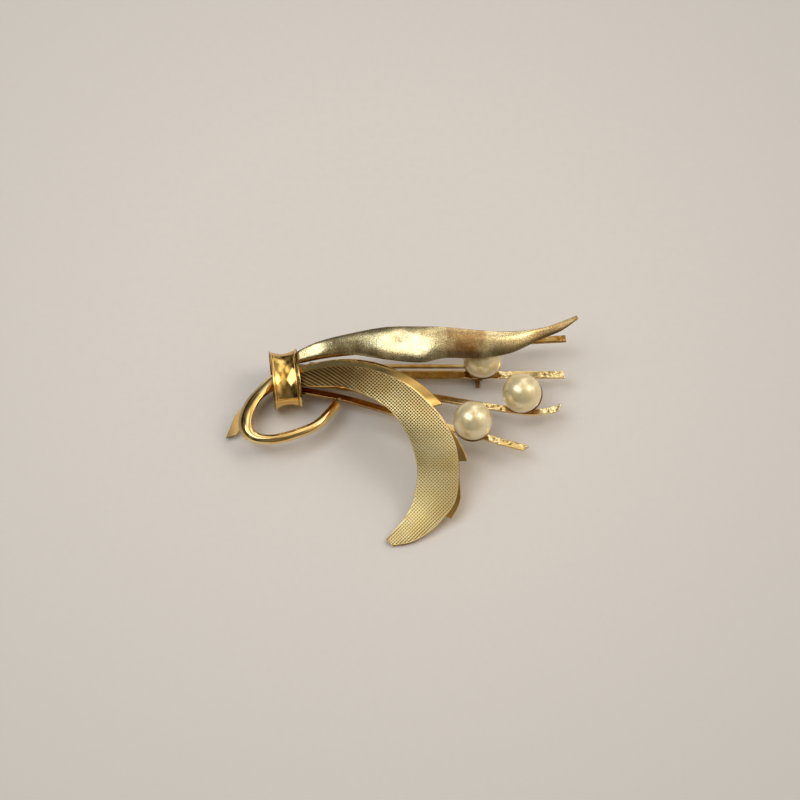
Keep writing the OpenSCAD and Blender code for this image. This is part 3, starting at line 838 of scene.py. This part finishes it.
def stem(name, node, line, z, width, slant, hammered, shaded_to, seed, lean_to=None):
    """A flat stem; hammered lists (first x, last x) of its hammered stretches. Its colour is painted browner
    up to the given x, for the shade and dark reflections under the leaves above it, and up to x = lean_to its
    top leans a little towards the viewer."""
    rings = bar_rings(line, z, width, spacing=0.12, slant=slant)
    x = rings[:, :, 0].mean(axis=1)
    where = np.zeros(len(x))
    for first, last in hammered:
        where = np.maximum(where, rise((x - first) / HAMMER_FADE) * rise((last - x) / HAMMER_FADE))
    hammer(rings, z + STEM_T, where, seed)
    on_top = top_share(rings, z + STEM_T)
    rings[..., 2] -= STEM_WAVE * on_top * (1 + noise_at(rings, 0.5, seed))
    if lean_to is not None:
        front = 0.5 - (rings[..., 1] - rings[..., 1].mean(axis=1, keepdims=True)) / width
        rings[..., 2] -= STEM_LEAN * front * on_top * rise((lean_to - x) / 1.5)[:, None]
    # Painted shade: browner and darker towards the collar, under the leaves
    stain_and_shade = rise((shaded_to - rings[..., 0]) / 5)
    piece = add_tube(name, rings, [STEM], colours={"stain_and_shade": stain_and_shade, "rim": 0.5 * stain_and_shade})
    settle(piece, "stem_gold", node)


def stems():
    """The four flat stems. Only the two in front have slanted ends."""
    stem("back_stem", "stem_back", STEM_BACK_LINE, STEM_TOP + TINY, width=1.05, slant=0,
        hammered=[(22.8, 27)], shaded_to=30, seed=1)
    stem("pin_side_stem", "stem_pin", STEM_PIN_LINE, STEM_Z, width=STEM_W, slant=0,
        hammered=[(14.5, 17), (20, 27)], shaded_to=13, seed=2, lean_to=15.5)
    stem("middle_stem", "stem_middle", STEM_MIDDLE_LINE, STEM_Z, width=1.0, slant=0.35,
        hammered=[(12, 16), (21, 27)], shaded_to=11, seed=3)
    stem("front_stem", "stem_front", STEM_FRONT_LINE, STEM_Z, width=1.0, slant=0.35,
        hammered=[(12.5, 21)], shaded_to=0, seed=4)


def pearl_wire():
    """Thin wire to the half-hidden pearl, painted brown and darker all along for the shade under the large
    leaf.
    """
    rings = bar_rings(WIRE_LINE, STEM_Z, width=0.5, spacing=0.5)
    wire_shade = {"stain_and_shade": np.ones(rings.shape[:2]), "rim": np.full(rings.shape[:2], 0.45)}
    settle(add_tube("back_pearl_wire", rings, [STEM], colours=wire_shade), "stem_gold", "pearl_wire")


# ---- pearls ----


def placed_pearl(points, i):
    """Points of a pearl's own frame, leaning as its cup does and put in place."""
    leaning = spun(spun(points, CUP_TILT[i] * CUP_LEAN_BACK, 0), -CUP_TILT[i], 1)
    return leaning + np.array([*PEARL_AT[i], PEARL_Z])


PEARL_HOLE = 0.45                # radius of the drilled hole's mouth
HOLE_EASE = 0.04                 # how much narrower the hole is inside its mouth
HOLE_TOP = -1.0                  # where it ends, from the pearl's middle
PEARL_SWELL = 0.006              # how far from round a pearl is, as a share of its radius


def pearl(i):
    """A bead a hair off round, drilled at its foot."""
    start = math.asin(PEARL_HOLE / PEARL_R)
    down = np.linspace(0.03, math.pi - start, 70)
    bore = PEARL_HOLE - HOLE_EASE
    profile = [(0, PEARL_R)]
    profile += [(PEARL_R * math.sin(w), PEARL_R * math.cos(w)) for w in down]
    profile += [(bore, -PEARL_R * math.cos(start) + 0.05), (bore, HOLE_TOP), (0, HOLE_TOP)]
    points, faces = turned(profile, 128)
    swell = noise_at(points, 0.35, seed=i + 3)
    points = points * (1 - PEARL_SWELL * (1 + swell))[:, None]
    piece = add_mesh(f"pearl_bead_{i + 1}", placed_pearl(points, i), faces, [NACRE])
    settle(piece, "pearl", f"pearl_{i + 1}")


def cup(i):
    """Thin cup under a pearl, with a rolled rim, on a round foot."""
    outer, inner = PEARL_R + CUP_WALL - TINY, PEARL_R + 2 * TINY
    top = math.acos(-CUP_RIM_DROP / outer)
    down = np.linspace(math.pi - 0.13, top, 24)
    shell = [(0, -outer)] + [(outer * math.sin(w), outer * math.cos(w)) for w in down]
    shell += [((outer + inner) / 2 * math.sin(top - 0.03), (outer + inner) / 2 * math.cos(top - 0.03))]
    shell += [(inner * math.sin(w), inner * math.cos(w)) for w in down[::-1]] + [(0, -inner)]
    bowl, bowl_faces = turned(shell)
    foot = [(0, -0.02), (0.74, -0.02), (0.8, -0.06), (0.8, -0.3), (0.76, -0.34), (0, -0.34)]
    base, base_faces = turned(foot, 48)
    base = base + np.array([*PEARL_AT[i], STEM_TOP + 0.36])
    points, faces = joined([(placed_pearl(bowl, i), bowl_faces), (base, base_faces)])
    piece = add_mesh(f"cup_{i + 1}", points, faces, [FINDINGS])
    settle(piece, "findings_gold", f"pearl_cup_{i + 1}")


# ---- solder and findings ----


BEAD_R = 0.44
BEAD_AT = (-9.6, 5.9, STEM_TOP + 0.1)
BEAD_SWELL = 0.1                 # how far from round it is, as a share of its radius


def solder_bead():
    """Bead of solder between the ribbon's end and the front stem."""
    down = np.linspace(0.15, math.pi - 0.15, 20)
    side = [(BEAD_R * math.sin(w), BEAD_R * math.cos(w)) for w in down]
    points, faces = turned([(0, BEAD_R)] + side + [(0, -BEAD_R)], 40)
    points = points * (1 - BEAD_SWELL * (1 + noise_at(points, 2.2, seed=5)))[:, None]
    piece = add_mesh("solder_bead", points + np.array(BEAD_AT), faces, [SOLDER])
    settle(piece, "solder", "loop_solder")


def collar_filling():
    """Solder that fills the middle of the collar round the stems, its two faces a little hollow."""
    w = np.linspace(0, 2 * math.pi, 72, endpoint=False)
    across = [0.02, 0.3, 0.55, 0.8, 0.95, 1.0, 1.0, 0.95, 0.8, 0.55, 0.3, 0.02]
    x = [0.42, 0.45, 0.5, 0.55, 0.58, 0.5, -0.5, -0.58, -0.55, -0.5, -0.45, -0.42]
    half_y, half_z = SOLDER_HALF
    rings = np.stack([np.stack([np.full(len(w), a), half_y * k * np.cos(w), half_z * k * np.sin(w)], axis=1)
        for a, k in zip(x, across)])
    rings[..., 0] += 0.05 * noise_at(rings, 1.5, seed=9)
    piece = add_tube("collar_filling", collar_frame(rings), [SOLDER])
    settle(piece, "solder", "collar_solder")


EASE_W = 0.05
FINDING_NODES = ["hinge_bracket", "hinge_rivet", "pin_stem", "catch_housing", "catch_rotor"]


def findings():
    """The CAD's own pin, hinge and catch, with eased edges, and its pegs as they are."""
    for name in FINDING_NODES:
        node = frame["nodes"][name]
        node.data.materials.clear()
        node.data.materials.append(FINDINGS if name != "pin_stem" else STEM)
        ease = node.modifiers.new("eased_edges", "BEVEL")
        ease.width = EASE_W * MM
        ease.segments = 2
        ease.limit_method = "ANGLE"
    for i in range(len(PEARL_AT)):
        peg = frame["nodes"][f"pearl_peg_{i + 1}"]
        peg.data.materials.clear()
        peg.data.materials.append(FINDINGS)


# ---- stage ----

CARD_COOL = (0.79, 0.755, 0.725, 1)
CARD_WARM = (0.83, 0.79, 0.755, 1)
CARD_FAR_SHADE = (0.61, 0.59, 0.57, 1)
CARD_MIDDLE = (-0.004, 0.025, 0)      # in metres
CARD_HALF = 3000
LIGHT_FAR = 1.2                  # distance of the lights, in metres
DAYLIGHT = (0.89, 0.95, 1.0)
LAMPLIGHT = (1.0, 0.95, 0.86)
ROOM_PALE = (0.92, 0.88, 0.82, 1)
ROOM_MIDDLE = (0.52, 0.42, 0.30, 1)
ROOM_DARK = (0.035, 0.03, 0.025, 1)
WALL_WARM = (1.0, 0.90, 0.74, 1)
TO_VIEWER = (0, -0.85, 0.53)
TO_LEFT_BACK = (-0.86, 0.5, 0)
UPWARDS = (0, 0, 1)


def camera():
    """Long lens, sixty degrees above the floor, aimed a little behind the brooch's middle."""
    aim = Vector(AIM) * MM
    back = Vector((0, -math.cos(VIEW_ELEVATION), math.sin(VIEW_ELEVATION)))
    data = bpy.data.cameras.new("camera")
    data.sensor_width = SENSOR
    data.lens = SENSOR * CAMERA_FAR / VIEW_WIDTH
    data.clip_start = 0.01
    eye = bpy.data.objects.new("camera", data)
    eye.location = aim + back * CAMERA_FAR * MM
    eye.rotation_mode = "QUATERNION"
    eye.rotation_quaternion = (-back).to_track_quat("-Z", "Y")
    bpy.context.scene.collection.objects.link(eye)
    bpy.context.scene.camera = eye


def floor():
    """Pale matt card, with painted shade making it a little darker away from the brooch, where the pool of
    light fades.
    """
    n = Finish("card")
    fibre = n.mix(n.noise(900, 4), CARD_COOL, CARD_WARM)
    # Painted shade: the card darkens away from the brooch like a fading pool of light.
    falloff = n.ramp(n.against("DISTANCE", CARD_MIDDLE), 0.035, 0.13, 0.0, 0.85)
    n.drive("Base Color", n.mix(falloff, fibre, CARD_FAR_SHADE))
    n.put("Roughness", 0.9)
    n.put("Specular IOR Level", 0.2)
    signs = [(-1, -1), (1, -1), (1, 1), (-1, 1)]
    corners = [(x * CARD_HALF, y * CARD_HALF, 0) for x, y in signs]
    card = add_mesh("floor", corners, [(0, 1, 2, 3)], [n.material])


def panel(name, direction, along, length, width, power, colour):
    """Soft rectangular light at that direction from the brooch, its long side turned towards along."""
    data = bpy.data.lights.new(name, "AREA")
    data.shape = "RECTANGLE"
    data.size = length
    data.size_y = width
    data.energy = power
    data.color = colour
    light = bpy.data.objects.new(name, data)
    z = Vector(direction).normalized()
    x = (Vector(along) - z * Vector(along).dot(z)).normalized()
    y = z.cross(x)
    light.matrix_world = Matrix.Translation(z * LIGHT_FAR) @ Matrix((x, y, z)).transposed().to_4x4()
    bpy.context.scene.collection.objects.link(light)


def room_colour(n):
    """Pale away from the viewer's side, warmer between, and dark towards it."""
    node = n.add("ShaderNodeValToRGB")
    n.link(n.against("DOT_PRODUCT", Vector(TO_VIEWER).normalized()), node.inputs[0])
    stops = node.color_ramp.elements
    stops[0].position, stops[0].color = 0.06, ROOM_PALE
    stops[1].position, stops[1].color = 0.82, ROOM_DARK
    stops.new(0.42).color = ROOM_MIDDLE
    return node.outputs[0]


def glow(n, strength):
    """Background whose strength is that socket's."""
    node = n.add("ShaderNodeBackground")
    n.link(strength, node.inputs["Strength"])
    return node


def world():
    """Warm room in soft patches, brighter overhead and dimmer at the left back, with a faint warm wall
    on the right."""
    scenery = bpy.data.worlds.new("room")
    bpy.context.scene.world = scenery
    scenery.use_nodes = True
    n = Nodes(scenery.node_tree, "Generated")
    left = n.against("DOT_PRODUCT", TO_LEFT_BACK)
    shade = n.ramp(left, 0.28, 0.56, 1.0, 0.14, smooth=True)
    patches = n.ramp(n.noise(2.6, 1.0), 0.40, 0.58, 0.45, 2.5)
    low = n.ramp(n.against("DOT_PRODUCT", UPWARDS), 0.15, 0.65, 0.35, 1.05, smooth=True)
    room = glow(n, n.maths("MULTIPLY", n.maths("MULTIPLY", patches, shade), low))
    n.link(room_colour(n), room.inputs["Color"])
    wall = glow(n, n.ramp(left, -0.05, -0.45, 0.0, 0.12, smooth=True))
    wall.inputs["Color"].default_value = WALL_WARM
    total = n.add("ShaderNodeAddShader")
    n.link(room.outputs[0], total.inputs[0])
    n.link(wall.outputs[0], total.inputs[1])
    n.link(total.outputs[0], n.add("ShaderNodeOutputWorld").inputs[0])


def lights():
    """A large window on the left and a smaller, warmer lamp on the right."""
    panel("window", (-0.42, -0.04, 0.90), along=(0.8, -0.6, 0), length=1.0, width=0.62, power=5.4,
        colour=DAYLIGHT)
    panel("lamp", (0.67, 0.10, 0.74), along=(0.3, 0.9, 0), length=0.40, width=0.44, power=1.8,
        colour=LAMPLIGHT)


camera()
floor()
lights()
world()
satin_leaf()
hatched_leaf()
collar()
ribbon()
tail()
stems()
pearl_wire()
for number in range(len(PEARL_AT)):
    pearl(number)
    cup(number)
solder_bead()
collar_filling()
findings()
bpy.context.scene.view_settings.view_transform = "Standard"
